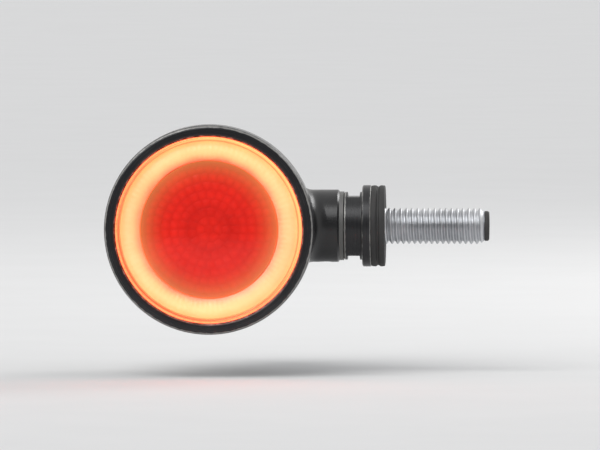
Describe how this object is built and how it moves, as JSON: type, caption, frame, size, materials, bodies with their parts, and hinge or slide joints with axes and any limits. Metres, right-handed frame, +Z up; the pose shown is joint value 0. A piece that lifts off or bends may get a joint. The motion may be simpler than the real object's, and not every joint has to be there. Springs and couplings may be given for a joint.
{
  "type": "tail light",
  "caption": "Bullet tail light with a glowing ring behind a domed lens, on a hollow threaded stud that stands out sideways through a rubber pad; the head swivels on it.",
  "frame": {"origin": "on the stud's axis, in the face of the rubber pad that lies against the bracket", "axes": "+X out along the mounting stud, +Z up, and the lens faces -Y, rearwards on the motorcycle"},
  "size_m": [0.084, 0.061, 0.046],
  "materials": {
    "housing_coat": "satin",
    "bezel_black": "satin",
    "clear_lens": "gloss",
    "ring_guide": "satin",
    "red_lens": "gloss",
    "carrier_plastic": "matte",
    "bright_cup": "gloss",
    "clear_optic": "gloss",
    "white_board": "satin",
    "led_body": "gloss",
    "foil": "matte",
    "bare_aluminium": "satin",
    "small_steel": "satin",
    "brass_post": "satin",
    "green_board": "satin",
    "can": "gloss",
    "ferrite": "matte",
    "chip_black": "matte",
    "terminal_white": "satin",
    "black_steel": "satin",
    "black_rubber": "matte",
    "vent_plastic": "matte",
    "bush_plastic": "satin",
    "post_black": "satin",
    "zinc_steel": "satin"
  },
  "bodies": {
    "stem": {"swivel_post": "post_black", "post_seal": "black_rubber", "isolator_pad": "black_rubber", "hollow_stud": "zinc_steel", "cable_grommet": "black_rubber"},
    "head": {"housing": "housing_coat", "bezel_ring": "bezel_black", "lens_gasket": "black_rubber", "outer_lens": "clear_lens", "light_guide": "ring_guide", "brake_lens": "red_lens", "optic_carrier": "carrier_plastic", "reflector_cup": "bright_cup", "collimator": "clear_optic", "led_board": "white_board", "ring_leds": "led_body", "brake_led": "led_body", "thermal_pad": "foil", "heat_sink": "bare_aluminium", "module_screws": "small_steel", "board_posts": "brass_post", "driver_board": "green_board", "driver_screws": "small_steel", "capacitor": "can", "inductor": "ferrite", "driver_chips": "chip_black", "terminal_block": "terminal_white", "tail_screw": "black_steel", "tail_washer": "black_rubber", "vent_plug": "vent_plastic", "neck_bushes": "bush_plastic", "clamp_screw": "black_steel"}
  },
  "joints": [
    {"name": "head_swivel", "type": "hinge", "parent": "stem", "child": "head", "pos_m": [-0.038, 0, 0], "axis": [1, 0, 0], "range_deg": [-30, 30]}
  ]
}
